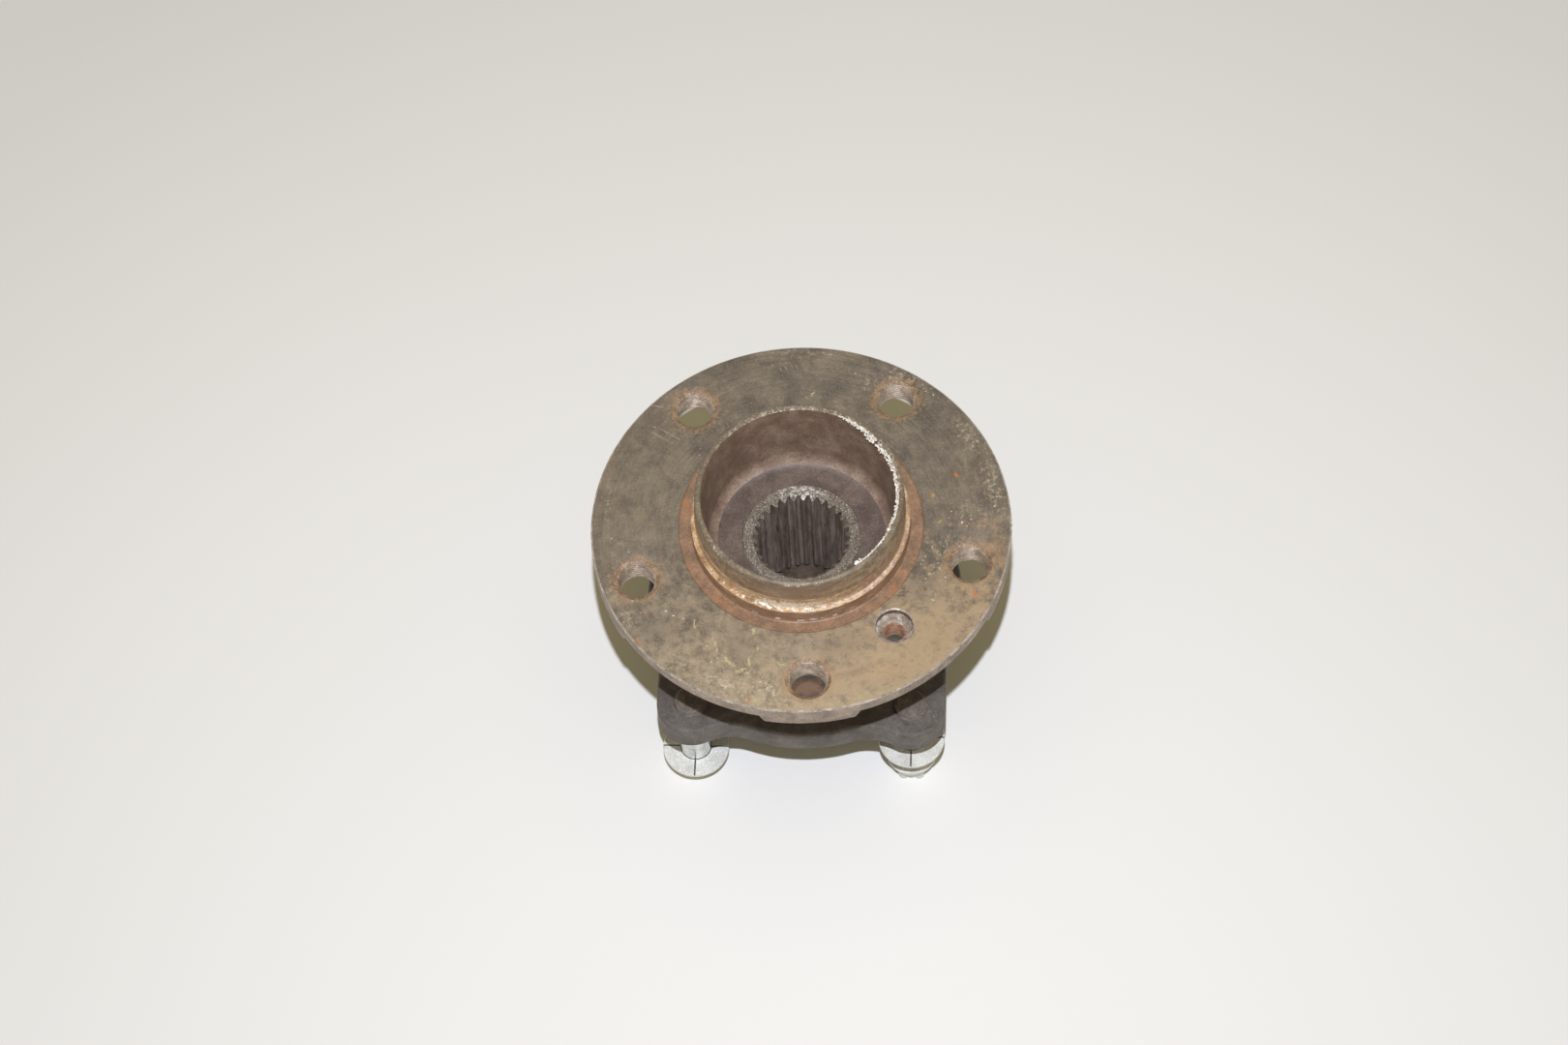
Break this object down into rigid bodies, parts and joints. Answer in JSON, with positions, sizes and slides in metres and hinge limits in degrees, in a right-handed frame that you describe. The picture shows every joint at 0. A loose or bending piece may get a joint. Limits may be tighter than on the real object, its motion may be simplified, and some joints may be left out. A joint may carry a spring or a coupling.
{
  "type": "wheel hub bearing",
  "caption": "Bolt-on wheel hub bearing: turning wheel flange with pilot collar and splined bore, in an eared outer ring with captive mounting bolts and washers.",
  "frame": {"origin": "on the hub axis, at the surface that the mounting bolts' heads stand on", "axes": "+Z along the hub axis towards the wheel; X and Y along the sides of the ears' bolt rectangle, Y along the longer one"},
  "size_m": [0.145, 0.145, 0.1155],
  "materials": {
    "hub_steel": "turned forged steel, oiled, with light rust",
    "ring_steel": "forged and ground bearing steel, dull",
    "bearing_steel": "polished bearing steel",
    "cage_polyamide": "moulded polyamide",
    "seal_rubber": "moulded rubber, matt",
    "seal_steel": "pressed sheet steel",
    "bolt_zinc": "white zinc coating, satin",
    "washer_zinc": "white zinc coating, satin"
  },
  "bodies": {
    "bearing_outer": {"outer_ring": "ring_steel", "outboard_seal_case": "seal_steel", "outboard_seal_lip": "seal_rubber", "inboard_seal_case": "seal_steel", "inboard_seal_lip": "seal_rubber", "bolt_front_left": "bolt_zinc", "bolt_front_right": "bolt_zinc", "bolt_rear_left": "bolt_zinc", "bolt_rear_right": "bolt_zinc"},
    "hub": {"hub_flange": "hub_steel", "inner_ring": "bearing_steel", "slinger": "seal_steel", "encoder_ring": "seal_rubber"},
    "outboard_row": {"outboard_cage": "cage_polyamide", "outboard_balls": "bearing_steel"},
    "inboard_row": {"inboard_cage": "cage_polyamide", "inboard_balls": "bearing_steel"},
    "washer_front_left_body": {"washer_front_left": "washer_zinc"},
    "washer_front_right_body": {"washer_front_right": "washer_zinc"},
    "washer_rear_left_body": {"washer_rear_left": "washer_zinc"},
    "washer_rear_right_body": {"washer_rear_right": "washer_zinc"}
  },
  "joints": [
    {"name": "hub_spin", "type": "hinge", "parent": "bearing_outer", "child": "hub", "pos_m": [0, 0, 0.05], "axis": [0, 0, 1], "continuous": true},
    {"name": "outboard_row_roll", "type": "hinge", "parent": "bearing_outer", "child": "outboard_row", "pos_m": [0, 0, 0.066], "axis": [0, 0, 1], "continuous": true},
    {"name": "inboard_row_roll", "type": "hinge", "parent": "bearing_outer", "child": "inboard_row", "pos_m": [0, 0, 0.034], "axis": [0, 0, 1], "continuous": true},
    {"name": "washer_front_left_slide", "type": "slide", "parent": "bearing_outer", "child": "washer_front_left_body", "axis": [0, 0, 1], "range_m": [0, 0.0146]},
    {"name": "washer_front_right_slide", "type": "slide", "parent": "bearing_outer", "child": "washer_front_right_body", "axis": [0, 0, 1], "range_m": [-0.0101, 0.0045]},
    {"name": "washer_rear_left_slide", "type": "slide", "parent": "bearing_outer", "child": "washer_rear_left_body", "axis": [0, 0, 1], "range_m": [0, 0.0146]},
    {"name": "washer_rear_right_slide", "type": "slide", "parent": "bearing_outer", "child": "washer_rear_right_body", "axis": [0, 0, 1], "range_m": [0, 0.0146]}
  ],
  "couplings": [
    {"joint": "outboard_row_roll", "follows": "hub_spin", "ratio": 0.4285},
    {"joint": "inboard_row_roll", "follows": "hub_spin", "ratio": 0.4285}
  ]
}
